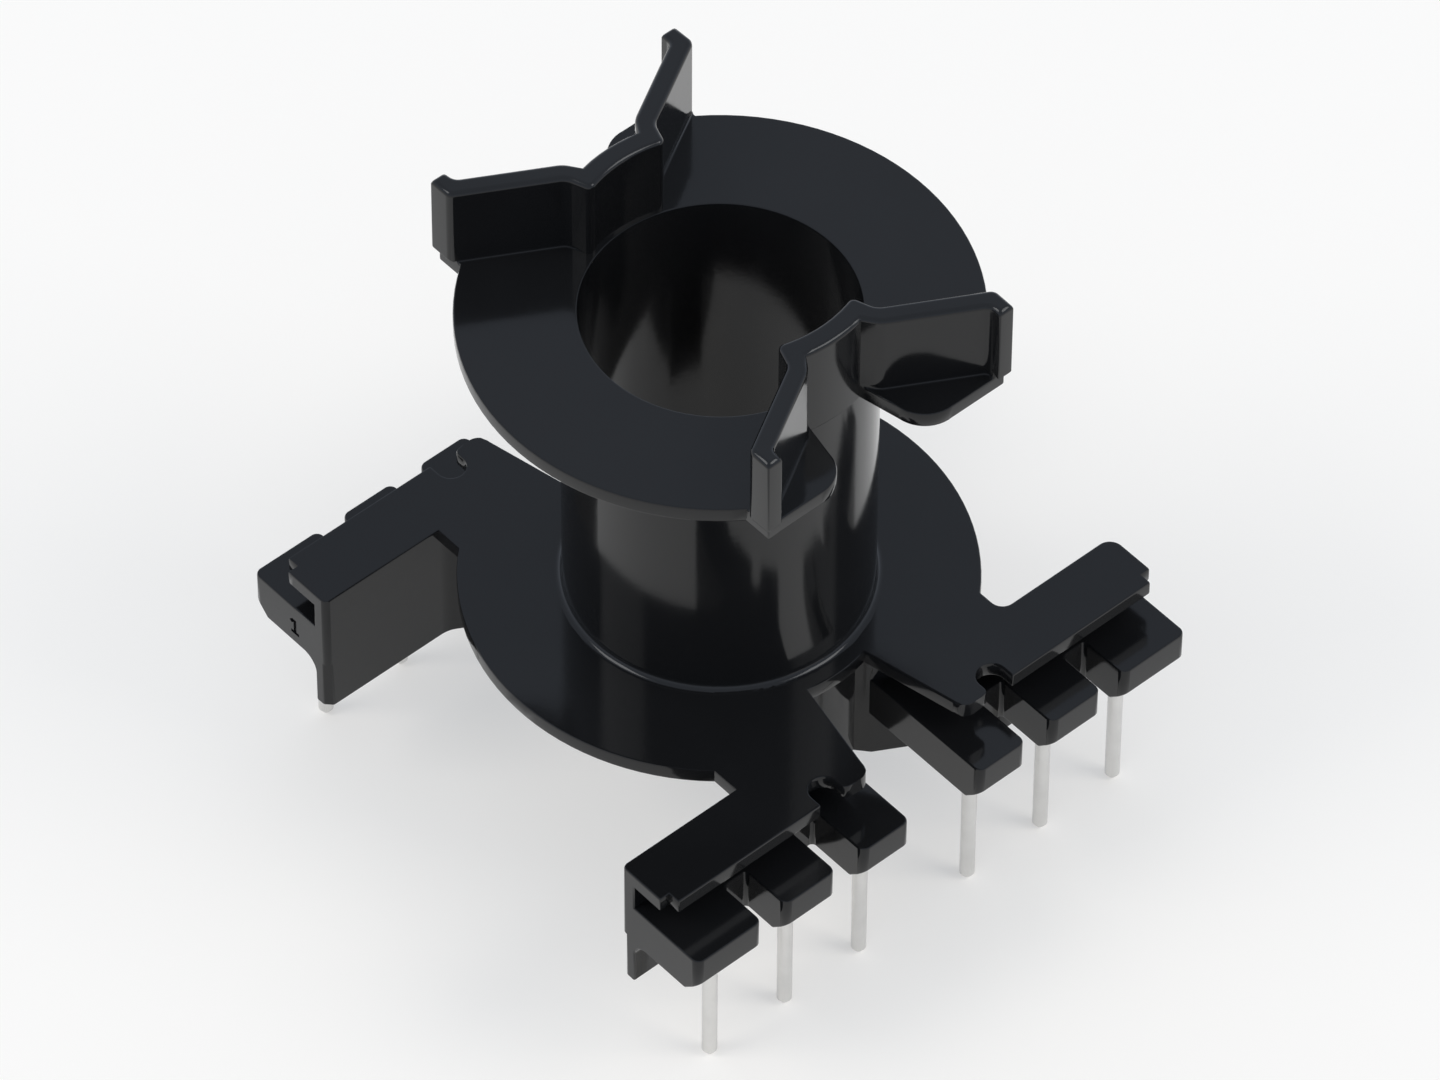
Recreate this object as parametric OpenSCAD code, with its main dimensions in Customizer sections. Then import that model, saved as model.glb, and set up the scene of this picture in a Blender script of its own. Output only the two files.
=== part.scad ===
// Vertical coil former for a power transformer: one moulding and two rows of board pins.

/* [Winding tube] */
// Bore that takes the round centre post of the core
bore_d = 14.3; // [13.8:0.1:14.5]
// Wall thickness of the tube
tube_wall = 0.9; // [0.7:0.05:1]
// Clear winding height between the flanges
window_h = 18.9; // [10:0.1:28]
// Rounding where the tube meets each flange
root_r = 0.4; // [0.2:0.05:0.5]

/* [Flanges] */
// Diameter of the top flange
flange_d = 26.7; // [26.2:0.1:27.4]
// Diameter of the bottom flange
base_d = 26.85; // [26.4:0.05:27.4]
// Thickness of both flanges
flange_t = 0.9; // [0.7:0.05:1.2]
// Half angle of the wire slots, in degrees
slot_a = 12; // [10:0.5:13]
// Radius at which the bottom wire slots begin
slot_r = 9.2; // [8.9:0.1:9.8]
// Rounding at the mouth of the top wire slots
mouth_r = 1.9; // [1.2:0.1:2.2]
// Step by which the top flange stands back from the lips above it
ear_step = 0.26; // [0.1:0.02:0.3]

/* [Core walls] */
// Height of the walls above the top flange
wall_h = 4.95; // [3.5:0.05:6]
// Thickness of the straight wings above the top flange
wall_t = 1.1; // [0.8:0.05:1.2]
// Inner radius of the curved nose in the middle of each wall
nose_r = 7.35; // [7.3:0.05:7.5]
// Thickness of the curved nose
nose_t = 1.25; // [1.1:0.05:1.4]
// Half angle of the nose, in degrees
nose_a = 19.5; // [17:0.5:21]
// Angle of the wings from the line across the pin rows, in degrees
wing_a = 60; // [58:0.5:62]
// Distance of the inner faces of the wings from the axis
wing_off = 5.7; // [5.6:0.02:5.8]
// Thickness of the square lip that ends each wing
lip_t = 0.95; // [0.7:0.05:1.2]
// Reach of the lips from the axis, across the pin rows
ear_x = 12.7; // [12.5:0.05:12.9]
// Reach of the lips from the axis, along the pin rows
ear_y = 8.1; // [7.8:0.05:8.4]

/* [Skirts] */
// Height of the skirts below the bottom flange
skirt_h = 7.4; // [6:0.1:9]
// Thickness of the skirts
skirt_t = 0.95; // [0.85:0.05:1]
// Inner radius of the bend between wing and skirt
bend_r = 1.6; // [1:0.1:2]

/* [Terminal arms] */
// Clear distance between the arms, half of it
arm_in = 11.5; // [11.4:0.05:11.7]
// Outer edge of the arms from the axis
arm_out = 15.15; // [15:0.05:15.4]
// Half length of the arms
arm_y = 16.65; // [16.2:0.05:17]
// Half width of the neck between arms and flange
neck_y = 9.05; // [8.8:0.05:9.5]
// Notch in the outer corners of the arms, across the pin rows
pick_x = 0.7; // [0.4:0.05:0.9]
// Notch in the outer corners of the arms, along the pin rows
pick_y = 0.6; // [0.3:0.05:0.8]
// Rounding of the inner corners of the two far arms
arm_r = 0.8; // [0.5:0.05:0.85]
// Rounding of the inner corners of the two near arms
near_r = 0.35; // [0.2:0.05:0.5]
// Chamfer of the feet of the two near skirts
foot_c = 0.4; // [0.2:0.05:0.6]
// Height of the chamfered feet
foot_h = 3.3; // [2:0.1:4]
// Rounding of the neck corners of the two far arms
neck_r = 0.7; // [0.3:0.05:1]
// Distance of the wire notches from the middle line
notch_y = 5.7; // [5.55:0.05:5.85]
// Width of the wire notches
notch_w = 1.6; // [1.4:0.05:1.8]
// Depth of the wire notches
notch_h = 1.5; // [1.3:0.05:1.7]
// Rounding of the tips beside the bottom wire slots
tip_r = 0.8; // [0.5:0.05:0.9]
// Rounding of the tips at the wire notches
notch_r = 0.35; // [0.2:0.05:0.4]

/* [Terminal blocks] */
// Distance from a pin row to the outer face of its blocks
block_edge = 2.175; // [1.8:0.025:2.4]
// Distance from the first pin of a group to the inner end of its block
block_lead = 1.4; // [1.1:0.05:1.6]
// Clear height between the arms and the blocks
wire_h = 1.6; // [1.2:0.05:1.9]
// Height of the blocks
block_h = 2.75; // [2.7:0.05:3.2]
// Chamfer along the lower outer edge of the blocks
block_c = 1; // [0.5:0.05:1.1]
// Rounding of the upright outer corners of the blocks
block_r = 0.45; // [0.2:0.05:0.6]
// Width of the inner wire gap in each group of blocks
gap_in_w = 1.8; // [1.4:0.05:2]
// Width of the outer wire gap in each group of blocks
gap_out_w = 1.55; // [1.3:0.05:1.8]
// Shift of the wire gaps from the middle between two pins
gap_shift = 0.17; // [0:0.01:0.3]
// Back of the inner wire gap from the axis
gap_in_x = 13.5; // [13.3:0.05:14]
// Back of the outer wire gap from the axis
gap_out_x = 14.3; // [13.9:0.05:14.4]
// Rounding at the back of the wire gaps
gap_r = 0.25; // [0.1:0.05:0.4]
// Rounding between the blocks and the skirts below them
web_r = 0.95; // [0.4:0.05:1.2]

/* [Pins] */
// Diameter of the pins
pin_d = 0.8; // [0.6:0.05:1]
// Distance from pin to pin in a group
pin_pitch = 5.08; // [4.95:0.01:5.15]
// Distance between the two groups of a row
pin_gap = 7.5; // [7.3:0.05:7.7]
// Distance between the two rows
row_gap = 30.25; // [30.15:0.05:30.5]
// Length of the pins below the skirts
pin_out = 5.35; // [3:0.05:8]
// Length of the square roots inside the blocks
pin_in = 2.4; // [1.8:0.05:2.5]
// Width of the square roots that grip the blocks
pin_root_w = 0.7; // [0.55:0.05:0.9]
// Length of the tapered tip
pin_tip = 0.3; // [0.1:0.05:0.6]

/* [Numeral] */
// Height of the numeral at the first pin
numeral_h = 1.1; // [0.8:0.05:1.3]
// Width of its strokes
numeral_w = 0.22; // [0.16:0.02:0.28]
// Depth of its strokes
numeral_d = 0.12; // [0.06:0.02:0.2]
// Distance of the numeral from the pin row
numeral_in = 1.1; // [1:0.05:1.2]
// Height of its foot above the underside of the block
numeral_up = 0.7; // [0.5:0.05:1]

/* [Hidden] */
$fn = 96;

// Levels, upward from the tips of the pins
seat_z = pin_out;
low_z = seat_z + skirt_h;
deck_z = low_z + flange_t;
high_z = deck_z + window_h;
top_z = high_z + flange_t;
wall_z = top_z + wall_h;
block_z1 = low_z - wire_h;
block_z0 = block_z1 - block_h;

// Radii and reach
bore_r = bore_d / 2;
tube_r = bore_r + tube_wall;
flange_r = flange_d / 2;
base_r = base_d / 2;
nose_out = nose_r + nose_t;
skirt_out = arm_in + skirt_t;
block_out = row_gap / 2 + block_edge;
reach = block_out + arm_y;

// Pins of one group and the wire gaps between them
pins_per_group = 3;
block_y0 = pin_gap / 2 - block_lead;
function pin_y(i) = pin_gap / 2 + i * pin_pitch;
function gap_y(i) = pin_y(i) + pin_pitch / 2 + gap_shift;

// Directions along a wing and square to it
wing_u = [cos(wing_a), sin(wing_a)];
wing_n = [sin(wing_a), -cos(wing_a)];
function polar(r, a) = [r * cos(a), r * sin(a)];

// Where the wing begins: the inner corner of the step beside the nose
step_s = wing_off / tan(wing_a - nose_a);
function on_wing(off, s) = wing_n * off + wing_u * s;
function wing_at_y(off, y) = on_wing(off, (y + off * cos(wing_a)) / sin(wing_a));

// Centre of the bend from wing to skirt
bend_x = arm_in - bend_r;
bend_y = (sin(wing_a) * bend_x - wing_off + bend_r) / cos(wing_a);
bend_c = [bend_x, bend_y];
bend_steps = 6;
function bend_arc(r) = [for (i = [0:bend_steps]) bend_c + polar(r, (90 - wing_a) * (i / bend_steps - 1))];

// How far roundings lap over the edges they join, and how far cuts run past a face
lap = 0.01;
past = 1;

// Centre of a rounding in the corner between a wire slot and a straight edge at x
function beside_slot(x, r) = [x - r + lap, (r - lap + sin(slot_a) * (x - r + lap)) / cos(slot_a)];

module both_x() {
  children();
  mirror([1, 0, 0]) children();
}

module both_y() {
  children();
  mirror([0, 1, 0]) children();
}

// What is cut from a square corner at the origin, inside the first quadrant, to round it
module corner(r) {
  difference() {
    square(r);
    translate([r, r]) circle(r);
  }
}

// Radial slot that opens at the rim
module slot_plan(from_r) {
  difference() {
    polygon([[0, 0], polar(reach, -slot_a), polar(reach, slot_a)]);
    circle(from_r);
  }
}

// What is cut from a corner beside a wire slot to round it, and the rounding itself
module slot_corner(x, r) {
  c = beside_slot(x, r);
  polygon([c, c + polar(2 * r, slot_a - 90), [x + past, 0], [x + past, c[1]]]);
}

module slot_round(x, r) {
  translate(beside_slot(x, r)) circle(r);
}

// Sector that the nose is cut from
module nose_fan() {
  fan_a = (slot_a + nose_a) / 2;
  intersection() {
    circle(nose_out);
    polygon([[0, 0], polar(reach, -fan_a), polar(reach, fan_a)]);
  }
}

// Core wall in plan: a curved nose, and on each side a step and a wing whose outline the points continue
module wall_plan(t, wing) {
  difference() {
    union() {
      both_y() polygon(concat(
        [[0, 0], on_wing(wing_off, step_s)],
        wing,
        [on_wing(wing_off + t, step_s), polar(nose_r + nose_t / 2, slot_a - 2), [nose_r, 0]]
      ));
      nose_fan();
    }
    circle(nose_r);
  }
}

// Core wall above the top flange, whose wings end in square lips
module top_wall_plan() {
  wall_plan(wall_t, [
    wing_at_y(wing_off, ear_y),
    [ear_x, ear_y],
    [ear_x, ear_y - lip_t],
    wing_at_y(wing_off + wall_t, ear_y - lip_t)
  ]);
}

// Core wall below the bottom flange, whose wings bend into straight skirts
module skirt_plan() {
  outer = bend_arc(bend_r + skirt_t);
  wall_plan(skirt_t, concat(
    bend_arc(bend_r),
    [[arm_in, arm_y], [skirt_out, arm_y]],
    [for (i = [bend_steps:-1:0]) outer[i]]
  ));
}

// Top flange: a disc with four ears, straight sides and two wire slots with rounded mouths
module top_flange_plan() {
  side = ear_x - ear_step;
  difference() {
    intersection() {
      union() {
        circle(flange_r);
        square([2 * reach, 2 * (ear_y - ear_step)], center = true);
      }
      square([2 * side, 2 * reach], center = true);
    }
    both_x() slot_plan(nose_out - nose_t / 2);
    both_x() both_y() slot_corner(side, mouth_r);
  }
  both_x() both_y() slot_round(side, mouth_r);
}

// Wire notch in the edge of an arm
module notch_plan() {
  translate([arm_out - notch_h + notch_w / 2, notch_y]) circle(notch_w / 2);
  translate([arm_out - notch_h + notch_w / 2, notch_y - notch_w / 2]) square([reach, notch_w]);
}

// Bottom flange with the neck and the four terminal arms
module deck_plan() {
  difference() {
    union() {
      circle(base_r);
      square([2 * arm_out, 2 * neck_y], center = true);
      both_x() translate([arm_in, -arm_y]) square([arm_out - arm_in, 2 * arm_y]);
      both_x() translate([arm_in, neck_y]) mirror([1, 0, 0]) corner(neck_r);
    }
    both_x() slot_plan(slot_r);
    both_x() both_y() notch_plan();
    both_x() both_y() translate([arm_out, notch_y - notch_w / 2]) rotate(180) corner(notch_r);
    both_x() both_y() slot_corner(arm_out, tip_r);
    both_x() both_y() translate([arm_out - pick_x, arm_y - pick_y]) square([pick_x + past, pick_y + past]);
  }
  both_x() both_y() slot_round(arm_out, tip_r);
}

// Gap that leads a wire down between two blocks
module gap_plan(y, w, x) {
  translate([x + gap_r, y - w / 2]) square([reach, w]);
  translate([x, y - w / 2 + gap_r]) square([reach, w - 2 * gap_r]);
  for (s = [-1, 1]) translate([x + gap_r, y + s * (w / 2 - gap_r)]) circle(gap_r);
}

// Terminal blocks of one group with the bar that ties them to the wall
module block_plan() {
  edges = [block_y0,
           gap_y(0) - gap_in_w / 2, gap_y(0) + gap_in_w / 2,
           gap_y(1) - gap_out_w / 2, gap_y(1) + gap_out_w / 2,
           arm_y];
  mid = skirt_t / 2;
  difference() {
    polygon([
      wing_at_y(wing_off + mid, block_y0),
      [block_out, block_y0],
      [block_out, arm_y],
      [arm_in + mid, arm_y],
      [arm_in + mid, bend_y],
      bend_c + polar(bend_r + mid, wing_a - 90)
    ]);
    gap_plan(gap_y(0), gap_in_w, gap_in_x);
    gap_plan(gap_y(1), gap_out_w, gap_out_x);
    for (i = [0, 2, 4]) translate([block_out, edges[i]]) mirror([1, 0, 0]) corner(block_r);
    for (i = [1, 3, 5]) translate([block_out, edges[i]]) rotate(180) corner(block_r);
  }
}

module blocks() {
  difference() {
    translate([0, 0, block_z0]) linear_extrude(block_h) block_plan();
    translate([0, reach, 0]) rotate([90, 0, 0]) linear_extrude(2 * reach) polygon([
      [block_out - block_c, block_z0],
      [block_out, block_z0 + block_c],
      [block_out + past, block_z0 + block_c],
      [block_out + past, block_z0 - past],
      [block_out - block_c, block_z0 - past]
    ]);
  }
  translate([skirt_out, arm_y, block_z0]) rotate([90, 0, 0])
    linear_extrude(arm_y - bend_y) mirror([0, 1, 0]) corner(web_r);
}

// Rounded root of the tube, standing on the level z = 0 and grown from the middle of the tube's wall
module root() {
  rotate_extrude() {
    translate([tube_r, 0]) corner(root_r);
    translate([tube_r - tube_wall / 2, 0]) square([tube_wall / 2, root_r]);
  }
}

// Numeral that marks the first pin, cut into the end of its block
module numeral() {
  w = numeral_w;
  translate([0, -numeral_d, 0]) {
    translate([-w / 2, 0, 0]) cube([w, 2 * numeral_d, numeral_h]);
    translate([-w * 1.4, 0, 0]) cube([w * 2.8, 2 * numeral_d, w]);
    translate([-w / 2, 0, numeral_h - w]) rotate([0, -45, 0]) translate([-w, 0, 0])
      cube([w * 1.6, 2 * numeral_d, w]);
  }
}

module bobbin_body() {
  color("#1b1c1e") difference() {
    union() {
      translate([0, 0, low_z]) cylinder(r = tube_r, h = top_z - low_z);
      translate([0, 0, low_z]) linear_extrude(flange_t) deck_plan();
      translate([0, 0, high_z]) linear_extrude(flange_t) top_flange_plan();
      translate([0, 0, deck_z]) root();
      translate([0, 0, high_z]) mirror([0, 0, 1]) root();
      translate([0, 0, top_z]) linear_extrude(wall_h) both_x() top_wall_plan();
      translate([0, 0, high_z]) linear_extrude(flange_t) both_x() nose_fan();
      translate([0, 0, seat_z]) linear_extrude(deck_z - seat_z) both_x() skirt_plan();
      both_x() both_y() blocks();
    }
    translate([0, 0, low_z - past]) cylinder(r = bore_r, h = top_z - low_z + 2 * past);
    for (i = [1:4 * pins_per_group]) translate(pin_place(i)) pin_root(seat_z);
    both_x() translate([arm_in, arm_y, seat_z - past]) mirror([0, 1, 0])
      linear_extrude(deck_z - seat_z + 2 * past) corner(arm_r);
    both_x() translate([arm_in, -arm_y, seat_z + foot_h])
      linear_extrude(deck_z - seat_z - foot_h + past) corner(near_r);
    both_x() translate([arm_in, -arm_y, seat_z - past])
      linear_extrude(foot_h + past) polygon([[-past, -past], [foot_c + past, -past], [-past, foot_c + past]]);
    translate([numeral_in - row_gap / 2, -arm_y, block_z0 + numeral_up]) numeral();
  }
}

// Foot of pin i, counted along one row and back along the other
function pin_place(i) =
  let (row = i <= 2 * pins_per_group ? -1 : 1)
  let (k = row < 0 ? i - 1 : 4 * pins_per_group - i)
  let (y = k < pins_per_group ? -pin_y(pins_per_group - 1 - k) : pin_y(k - pins_per_group))
  [row * row_gap / 2, y, 0];

// Square root of a pin, from the level z up into its block
module pin_root(z) {
  translate([-pin_root_w / 2, -pin_root_w / 2, z]) cube([pin_root_w, pin_root_w, block_z0 + pin_in - z]);
}

// Round pin with a tapered tip and a root coined square
module pin(i) {
  color("#c9c9c4") translate(pin_place(i)) {
    cylinder(d1 = pin_d * 0.5, d2 = pin_d, h = pin_tip);
    translate([0, 0, pin_tip]) cylinder(d = pin_d, h = block_z0 - pin_tip);
    pin_root(block_z0);
  }
}

module pin_1() { pin(1); }
module pin_2() { pin(2); }
module pin_3() { pin(3); }
module pin_4() { pin(4); }
module pin_5() { pin(5); }
module pin_6() { pin(6); }
module pin_7() { pin(7); }
module pin_8() { pin(8); }
module pin_9() { pin(9); }
module pin_10() { pin(10); }
module pin_11() { pin(11); }
module pin_12() { pin(12); }

bobbin_body();
pin_1();
pin_2();
pin_3();
pin_4();
pin_5();
pin_6();
pin_7();
pin_8();
pin_9();
pin_10();
pin_11();
pin_12();
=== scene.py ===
import math
import bmesh
import bpy
from mathutils import Matrix, Vector


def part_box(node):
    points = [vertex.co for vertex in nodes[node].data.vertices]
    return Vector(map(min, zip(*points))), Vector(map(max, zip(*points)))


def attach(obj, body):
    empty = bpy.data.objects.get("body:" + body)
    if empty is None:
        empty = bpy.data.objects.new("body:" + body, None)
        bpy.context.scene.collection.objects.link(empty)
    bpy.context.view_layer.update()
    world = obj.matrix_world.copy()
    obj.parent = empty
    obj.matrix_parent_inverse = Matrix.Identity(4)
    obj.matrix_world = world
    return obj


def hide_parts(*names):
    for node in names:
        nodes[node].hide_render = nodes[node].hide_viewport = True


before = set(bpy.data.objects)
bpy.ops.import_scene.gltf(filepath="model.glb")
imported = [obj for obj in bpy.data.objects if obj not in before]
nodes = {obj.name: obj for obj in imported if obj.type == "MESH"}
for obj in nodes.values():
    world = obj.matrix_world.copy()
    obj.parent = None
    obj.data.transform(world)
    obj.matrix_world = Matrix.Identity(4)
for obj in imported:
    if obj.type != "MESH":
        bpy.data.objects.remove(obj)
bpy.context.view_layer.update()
scene = bpy.context.scene
scene.view_settings.view_transform = "Standard"
print("frame loaded:", len(nodes), "nodes")

# where the photograph was taken from, in degrees and metres
shot = {
    "azimuth": 48.382,
    "elevation": 48.801,
    "roll": -0.307,
    "distance": 0.58797,
    "lens": 287.5,  # mm
    "sensor": 36,  # mm
    "clip": (0.01, 20),
    "aim": (0.0, 0.0, 0.01365),
    "offRight": -0.0000476,
    "offUp": -0.0015317,
}


def addCamera():
    az = math.radians(shot["azimuth"])
    el = math.radians(shot["elevation"])
    roll = math.radians(shot["roll"])
    back = Vector((math.sin(az) * math.cos(el), -math.cos(az) * math.cos(el), math.sin(el)))
    level = Vector((math.cos(az), math.sin(az), 0))
    plumb = back.cross(level)
    right = level * math.cos(roll) - plumb * math.sin(roll)
    up = level * math.sin(roll) + plumb * math.cos(roll)
    eye = Vector(shot["aim"]) + back * shot["distance"] - right * shot["offRight"] - up * shot["offUp"]
    lens = bpy.data.cameras.new("photoCamera")
    lens.sensor_fit = "HORIZONTAL"
    lens.sensor_width = shot["sensor"]
    lens.lens = shot["lens"]
    lens.clip_start, lens.clip_end = shot["clip"]
    camera = bpy.data.objects.new("photoCamera", lens)
    turn = Matrix((right, up, back)).transposed().to_4x4()
    camera.matrix_world = Matrix.Translation(eye) @ turn
    scene.collection.objects.link(camera)
    scene.camera = camera


addCamera()
print("camera set")


def setInputs(node, inputs):
    for socket, value in inputs.items():
        node.inputs[socket].default_value = value


def newNode(tree, kind, inputs=None, **settings):
    node = tree.nodes.new(kind)
    for key, value in settings.items():
        setattr(node, key, value)
    setInputs(node, inputs or {})
    return node


def newFinish(name, inputs):
    finish = bpy.data.materials.new(name)
    finish.use_nodes = True
    shader = finish.node_tree.nodes["Principled BSDF"]
    setInputs(shader, inputs)
    return finish, finish.node_tree, shader


# white table under a dim room, two soft boxes
studio = {
    "floorSize": 6.0,
    "floorColour": (0.62, 0.58, 0.52, 1),
    "floorRough": 0.9,
    "floorGlow": 0.4,  # seen directly, in reflections and through things, with no other light from it
    "skyColour": (0.88, 0.98, 1.15, 1),
    "skyLow": 0.90,
    "skyHigh": 0.64,
    "skyBlend": 0.75,
    "boxAim": (0, 0, 0.02),
    "boxes": [
        # name, place, width, power in watts
        ("boxRight", (0.473, 0.311, 0.566), 0.34, 1.5),
        ("boxLeft", (-0.253, -0.506, 0.566), 0.34, 1.5),
    ],
}


def tableFinish():
    finish, tree, shader = newFinish("whiteTable", {
        "Base Color": studio["floorColour"],
        "Roughness": studio["floorRough"],
        "Specular IOR Level": 0.0,
        "Emission Color": (1, 1, 1, 1),
    })
    rays = newNode(tree, "ShaderNodeLightPath")
    seen = newNode(tree, "ShaderNodeMath", operation="ADD")
    through = newNode(tree, "ShaderNodeMath", operation="ADD", use_clamp=True)
    glow = newNode(tree, "ShaderNodeMath", {1: studio["floorGlow"]}, operation="MULTIPLY")
    tree.links.new(rays.outputs["Is Camera Ray"], seen.inputs[0])
    tree.links.new(rays.outputs["Is Glossy Ray"], seen.inputs[1])
    tree.links.new(seen.outputs[0], through.inputs[0])
    tree.links.new(rays.outputs["Is Transmission Ray"], through.inputs[1])
    tree.links.new(through.outputs[0], glow.inputs[0])
    tree.links.new(glow.outputs[0], shader.inputs["Emission Strength"])
    return finish


def makeFloor():
    bm = bmesh.new()
    bmesh.ops.create_grid(bm, x_segments=2, y_segments=2, size=studio["floorSize"] / 2)
    mesh = bpy.data.meshes.new("tableTop")
    bm.to_mesh(mesh)
    bm.free()
    table = bpy.data.objects.new("tableTop", mesh)
    scene.collection.objects.link(table)
    mesh.materials.append(tableFinish())


def makeSky():
    world = bpy.data.worlds.new("studioRoom")
    scene.world = world
    world.use_nodes = True
    tree = world.node_tree
    tree.nodes.clear()
    out = newNode(tree, "ShaderNodeOutputWorld")
    room = newNode(tree, "ShaderNodeBackground", {"Color": studio["skyColour"]})
    place = newNode(tree, "ShaderNodeTexCoord")
    split = newNode(tree, "ShaderNodeSeparateXYZ")
    ramp = newNode(tree, "ShaderNodeMapRange", {
        "From Min": 0.0,
        "From Max": studio["skyBlend"],
        "To Min": studio["skyLow"],
        "To Max": studio["skyHigh"],
    }, interpolation_type="SMOOTHSTEP")
    tree.links.new(place.outputs["Generated"], split.inputs[0])
    tree.links.new(split.outputs["Z"], ramp.inputs["Value"])
    tree.links.new(ramp.outputs[0], room.inputs["Strength"])
    tree.links.new(room.outputs[0], out.inputs[0])


def makeLights():
    for name, place, width, power in studio["boxes"]:
        lamp = bpy.data.lights.new(name, "AREA")
        lamp.shape = "SQUARE"
        lamp.size = width
        lamp.energy = power
        box = bpy.data.objects.new(name, lamp)
        aim = Vector(studio["boxAim"]) - Vector(place)
        box.matrix_world = Matrix.Translation(place) @ aim.to_track_quat("-Z", "Y").to_matrix().to_4x4()
        scene.collection.objects.link(box)


makeFloor()
makeSky()
makeLights()
print("studio set")

# black moulding: lengths in metres, patterns per metre, angles in radians
moulding = {
    "colour": (0.0068, 0.0068, 0.0070, 1),
    "paler": (0.0092, 0.0092, 0.0095, 1),
    "gloss": 1.38,  # refractive index
    "flowScale": 160.0,
    "flowSwirl": 0.6,
    "flowRange": (0.3, 0.7),  # part of the flow pattern that the roughness follows
    "grainScale": 2600.0,
    "roughLow": 0.08,
    "roughHigh": 0.15,
    "bump": 0.5,
    "waveDepth": 0.00001,
    "grainDepth": 0.000003,
    "edge": 0.00011,  # rounding of the outer edges
    "edgeSteps": 2,
    "wallEdge": 0.00028,  # rounding along the tops of the core walls
    "wallSteps": 4,
    "wallTop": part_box("bobbin_body")[1][2],
    "wallFoot": 0.03345,
    "uprights": [
        # plan of an upright edge of the core walls, in all four quarters, and how far it is rounded
        ((0.01126, 0.0081), 0.00028),  # end of the wing, on the side of the core
        ((0.01198, 0.00715), 0.0003),  # hollow behind the lip
        ((0.00923, 0.00239), 0.00028),  # outer bend from wing to nose
        ((0.00693, 0.00245), 0.00035),  # end of the nose
        ((0.00827, 0.00293), 0.0003),  # hollow where the wing begins
    ],
    "planReach": 0.0001,
    "footFillet": 0.00015,
    "noseReach": 0.0079,  # the nose has no fillet, it stands too near the bore
    "sharpTurn": math.radians(38),
    "flatTurn": math.radians(0.6),
    "weld": 0.000004,
    "flush": 0.00002,
    "facesUp": 0.99,
    "bend": 0.00001,
    "normalWeight": 60,
    "pinRow": 0.015125,
    "blockFoot": 0.0084,
    "rootReach": 0.0006,  # edges as near as this to a pin stay sharp
    "numeralAt": (-0.014025, -0.01665, 0.00965),
    "numeralReach": 0.00085,
    "slivers": [
        # a small face left unrounded, on both sides, and its reach
        ((0.0130, 0.00895, 0.0081), 0.0008),
        ((0.0130, -0.00895, 0.0081), 0.0008),
        ((0.0118, -0.01645, 0.00865), 0.0006),
        ((0.01153, 0.00945, 0.01278), 0.0004),
        ((0.01112, 0.00784, 0.03342), 0.00025),
        ((0.01112, -0.00784, 0.03342), 0.00025),
    ],
}


def mouldingFinish():
    finish, tree, shader = newFinish("blackMoulding", {"IOR": moulding["gloss"]})
    place = newNode(tree, "ShaderNodeTexCoord")
    flow = newNode(tree, "ShaderNodeTexNoise", {
        "Scale": moulding["flowScale"],
        "Detail": 4,
        "Distortion": moulding["flowSwirl"],
    })
    grain = newNode(tree, "ShaderNodeTexNoise", {"Scale": moulding["grainScale"], "Detail": 3})
    shades = {"A": moulding["colour"], "B": moulding["paler"]}
    tint = newNode(tree, "ShaderNodeMix", shades, data_type="RGBA")
    rough = newNode(tree, "ShaderNodeMapRange", {
        "From Min": moulding["flowRange"][0],
        "From Max": moulding["flowRange"][1],
        "To Min": moulding["roughLow"],
        "To Max": moulding["roughHigh"],
    })
    bump = moulding["bump"]
    wave = newNode(tree, "ShaderNodeBump", {"Strength": bump, "Distance": moulding["waveDepth"]})
    pits = newNode(tree, "ShaderNodeBump", {"Strength": bump, "Distance": moulding["grainDepth"]})
    tree.links.new(place.outputs["Object"], flow.inputs["Vector"])
    tree.links.new(place.outputs["Object"], grain.inputs["Vector"])
    tree.links.new(flow.outputs["Fac"], tint.inputs["Factor"])
    tree.links.new(tint.outputs["Result"], shader.inputs["Base Color"])
    tree.links.new(flow.outputs["Fac"], rough.inputs["Value"])
    tree.links.new(rough.outputs[0], shader.inputs["Roughness"])
    tree.links.new(flow.outputs["Fac"], wave.inputs["Height"])
    tree.links.new(grain.outputs["Fac"], pits.inputs["Height"])
    tree.links.new(wave.outputs["Normal"], pits.inputs["Normal"])
    tree.links.new(pits.outputs["Normal"], shader.inputs["Normal"])
    return finish


def pinMiddles():
    pins = [nodes[name].data.vertices for name in nodes if name.startswith("pin_")]
    return [sum((v.co for v in verts), Vector()) / len(verts) for verts in pins]


def atLevel(part, axis, level):
    return all(abs(v.co[axis] - level) < moulding["flush"] for v in part.verts)


def standsAbove(edge, level):
    return min(v.co.z for v in edge.verts) > level - moulding["flush"]


def staysSharp(edge, pins):
    middle = (edge.verts[0].co + edge.verts[1].co) / 2
    if (middle - Vector(moulding["numeralAt"])).length < moulding["numeralReach"]:
        return True
    side = Vector((abs(middle.x), middle.y, middle.z))
    if any((side - Vector(place)).length < reach for place, reach in moulding["slivers"]):
        return True
    return any((middle - pin).xy.length < moulding["rootReach"] for pin in pins)


def isUpright(edge, plan):
    spots = [Vector((abs(v.co.x), abs(v.co.y))) for v in edge.verts]
    inPlan = all((spot - Vector(plan)).length < moulding["planReach"] for spot in spots)
    return inPlan and standsAbove(edge, moulding["wallFoot"])


def onWallFoot(edge):
    hollow = not edge.is_convex and edge.calc_face_angle(0) > moulding["sharpTurn"]
    onFlange = any(f.normal.z > moulding["facesUp"] for f in edge.link_faces)
    offNose = min(v.co.xy.length for v in edge.verts) > moulding["noseReach"]
    return hollow and onFlange and offNose and atLevel(edge, 2, moulding["wallFoot"])


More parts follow.
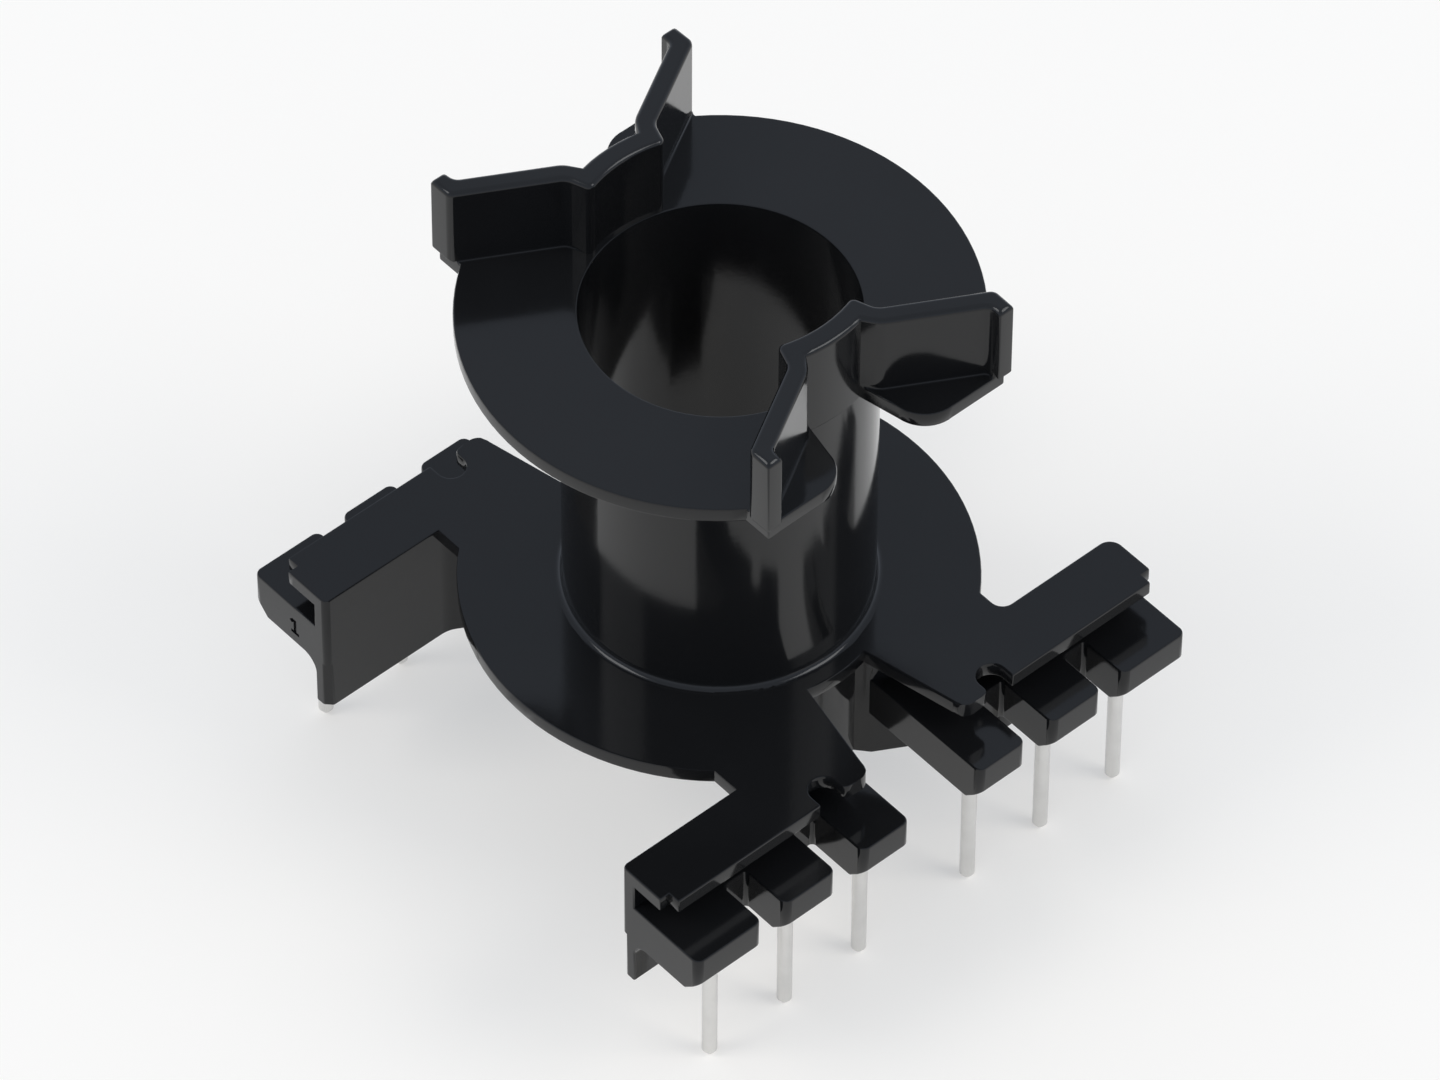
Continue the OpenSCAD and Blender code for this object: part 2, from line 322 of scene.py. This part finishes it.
def sharpEdges(bm):
    return [e for e in bm.edges if e.is_convex and e.calc_face_angle() > moulding["sharpTurn"]]


def isBent(face):
    middle = face.calc_center_median()
    return max(abs((v.co - middle).dot(face.normal)) for v in face.verts) > moulding["bend"]


# axis across each cut and its place, then the axis and level of the flat faces it is for
def holeCuts():
    row = moulding["pinRow"]
    foot = moulding["blockFoot"]
    numeral = moulding["numeralAt"]
    return [
        (0, 0, None, 0),
        (1, 0, None, 0),
        (0, row, 2, foot),
        (0, -row, 2, foot),
        (0, numeral[0], 1, numeral[1]),
    ]


# cut through every hole first, so that no flat face is left with a hole in it
def cutHoles(bm):
    for across, place, axis, level in holeCuts():
        normal = Vector()
        normal[across] = 1
        faces = [f for f in bm.faces if axis is None or atLevel(f, axis, level)]
        # a dict keeps each one once, in the same order every run
        edges = list(dict.fromkeys(e for f in faces for e in f.edges))
        verts = list(dict.fromkeys(v for f in faces for v in f.verts))
        cut = bmesh.ops.bisect_plane(bm, geom=verts + edges + faces, dist=moulding["weld"],
                                     plane_co=normal * place, plane_no=normal)
        for part in cut["geom_cut"]:
            if isinstance(part, bmesh.types.BMEdge):
                part.seam = True
    bmesh.ops.dissolve_limit(bm, angle_limit=moulding["flatTurn"], verts=bm.verts, edges=bm.edges,
                             delimit={"SEAM"})
    bm.normal_update()


def roundEdges(bm, edges, reach, steps):
    bmesh.ops.bevel(bm, geom=edges, offset=reach, offset_type="OFFSET", affect="EDGES",
                    segments=steps, profile=0.5, material=-1, clamp_overlap=False)
    bm.normal_update()


def roundBody(bm):
    for plan, reach in moulding["uprights"]:
        posts = [e for e in bm.edges if isUpright(e, plan)]
        roundEdges(bm, posts, reach, moulding["wallSteps"])
    foot = [e for e in bm.edges if onWallFoot(e)]
    roundEdges(bm, foot, moulding["footFillet"], moulding["edgeSteps"])
    walls = [e for e in sharpEdges(bm) if standsAbove(e, moulding["wallTop"])]
    roundEdges(bm, walls, moulding["wallEdge"], moulding["wallSteps"])
    pins = pinMiddles()
    rest = [e for e in sharpEdges(bm) if not staysSharp(e, pins)]
    roundEdges(bm, rest, moulding["edge"], moulding["edgeSteps"])
    bmesh.ops.triangulate(bm, faces=[f for f in bm.faces if len(f.verts) > 4 and isBent(f)])


def dressBody():
    bm = bmesh.new()
    bm.from_mesh(nodes["bobbin_body"].data)
    bmesh.ops.remove_doubles(bm, verts=bm.verts, dist=moulding["weld"])
    bmesh.ops.dissolve_degenerate(bm, dist=moulding["weld"], edges=bm.edges)
    cutHoles(bm)
    roundBody(bm)
    for face in bm.faces:
        face.smooth = True
    for edge in bm.edges:
        edge.smooth = edge.calc_face_angle(0) < moulding["sharpTurn"]
    mesh = bpy.data.meshes.new("mouldedBobbin")
    bm.to_mesh(mesh)
    bm.free()
    body = bpy.data.objects.new("mouldedBobbin", mesh)
    scene.collection.objects.link(body)
    mesh.materials.append(mouldingFinish())
    even = body.modifiers.new("evenNormals", "WEIGHTED_NORMAL")
    even.keep_sharp = True
    even.weight = moulding["normalWeight"]
    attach(body, "root")
    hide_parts("bobbin_body")
    print("body dressed:", len(mesh.polygons), "faces")


dressBody()

# tinned wire pins
pinWire = {
    "colour": (0.76, 0.755, 0.74, 1),
    "duller": (0.66, 0.655, 0.64, 1),
    "dullScale": 900.0,
    "drawScale": (5200.0, 5200.0, 120.0),
    "roughLow": 0.24,
    "roughHigh": 0.42,
    "bump": 0.4,
    "drawDepth": 0.000006,
}


def pinFinish():
    finish, tree, shader = newFinish("tinnedPin", {"Metallic": 1.0})
    place = newNode(tree, "ShaderNodeTexCoord")
    stretch = newNode(tree, "ShaderNodeMapping", {"Scale": pinWire["drawScale"]})
    drawn = newNode(tree, "ShaderNodeTexNoise", {"Scale": 1.0, "Detail": 4})
    dull = newNode(tree, "ShaderNodeTexNoise", {"Scale": pinWire["dullScale"], "Detail": 3})
    shades = {"A": pinWire["colour"], "B": pinWire["duller"]}
    tint = newNode(tree, "ShaderNodeMix", shades, data_type="RGBA")
    span = {"To Min": pinWire["roughLow"], "To Max": pinWire["roughHigh"]}
    rough = newNode(tree, "ShaderNodeMapRange", span)
    lines = newNode(tree, "ShaderNodeBump", {"Strength": pinWire["bump"], "Distance": pinWire["drawDepth"]})
    tree.links.new(place.outputs["Object"], stretch.inputs["Vector"])
    tree.links.new(stretch.outputs[0], drawn.inputs["Vector"])
    tree.links.new(place.outputs["Object"], dull.inputs["Vector"])
    tree.links.new(dull.outputs["Fac"], tint.inputs["Factor"])
    tree.links.new(tint.outputs["Result"], shader.inputs["Base Color"])
    tree.links.new(drawn.outputs["Fac"], rough.inputs["Value"])
    tree.links.new(rough.outputs[0], shader.inputs["Roughness"])
    tree.links.new(drawn.outputs["Fac"], lines.inputs["Height"])
    tree.links.new(lines.outputs["Normal"], shader.inputs["Normal"])
    return finish


def dressPins():
    finish = pinFinish()
    for name, node in nodes.items():
        if name.startswith("pin_"):
            node.data.materials.clear()
            node.data.materials.append(finish)
    print("pins dressed")


dressPins()
